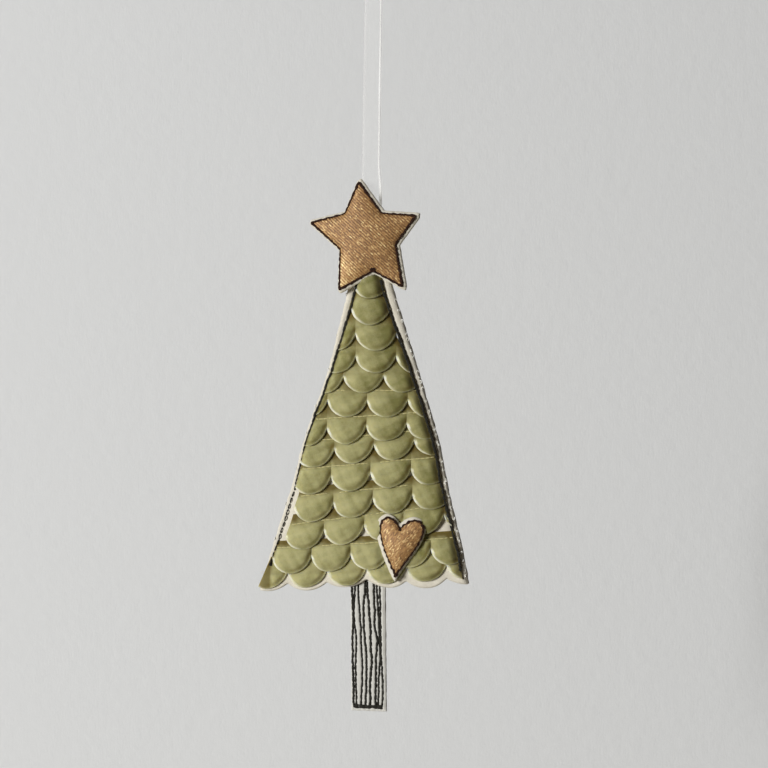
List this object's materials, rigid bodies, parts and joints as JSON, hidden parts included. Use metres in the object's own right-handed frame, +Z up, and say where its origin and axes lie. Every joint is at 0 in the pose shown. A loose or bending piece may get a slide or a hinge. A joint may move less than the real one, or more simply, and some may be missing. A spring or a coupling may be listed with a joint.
{
  "type": "hanging tree decoration",
  "caption": "Padded felt tree with overlapping rows of scalloped velvet trim, a puffed star and heart, a stitched trunk and a sheer ribbon loop to hang it by.",
  "frame": {"origin": "inside top of the ribbon loop, where it rests on the hook that holds it", "axes": "+Z up along the hanging ribbon, -Y the way the decorated front faces, +X to the right seen from the front"},
  "size_m": [0.0798, 0.0121, 0.2805],
  "materials": {
    "felt": "matt wool felt",
    "wadding": "loose fibre",
    "velvet": "short pile with a sheen",
    "gold_cloth": "twill with metallic glitter",
    "black_thread": "twisted cotton",
    "brown_thread": "twisted cotton",
    "organza": "sheer satin-edged weave",
    "trunk_cloth": "plain weave"
  },
  "bodies": {
    "hanger": {"ribbon_loop": "organza"},
    "ribbon": {"ribbon_front_ply": "organza", "ribbon_back_ply": "organza"},
    "tree": {"back_panel": "felt", "front_panel": "felt", "star_backing": "felt", "heart_backing": "felt", "wadding_core": "wadding", "star_wadding": "wadding", "heart_wadding": "wadding", "trunk_wadding": "wadding", "trim_row_01": "velvet", "trim_row_02": "velvet", "trim_row_03": "velvet", "trim_row_04": "velvet", "trim_row_05": "velvet", "trim_row_06": "velvet", "trim_row_07": "velvet", "trim_row_08": "velvet", "trim_row_09": "velvet", "trim_row_10": "velvet", "trim_row_11": "velvet", "trim_row_12": "velvet", "trim_row_13": "velvet", "star_face": "gold_cloth", "heart_face": "gold_cloth", "edge_stitch_left": "black_thread", "edge_stitch_right": "black_thread", "trunk_stitching": "black_thread", "star_outline_stitch": "brown_thread", "heart_outline_stitch": "brown_thread", "ribbon_tail": "organza", "trunk_front": "trunk_cloth", "trunk_back": "trunk_cloth"}
  },
  "joints": [
    {"name": "turn", "type": "hinge", "parent": "hanger", "child": "ribbon", "pos_m": [0, 0, -0.0222], "axis": [0, 0, 1], "range_deg": [-90, 90]},
    {"name": "swing", "type": "hinge", "parent": "ribbon", "child": "tree", "pos_m": [0, 0, -0.102], "axis": [1, 0, 0], "range_deg": [-3, 90]}
  ]
}
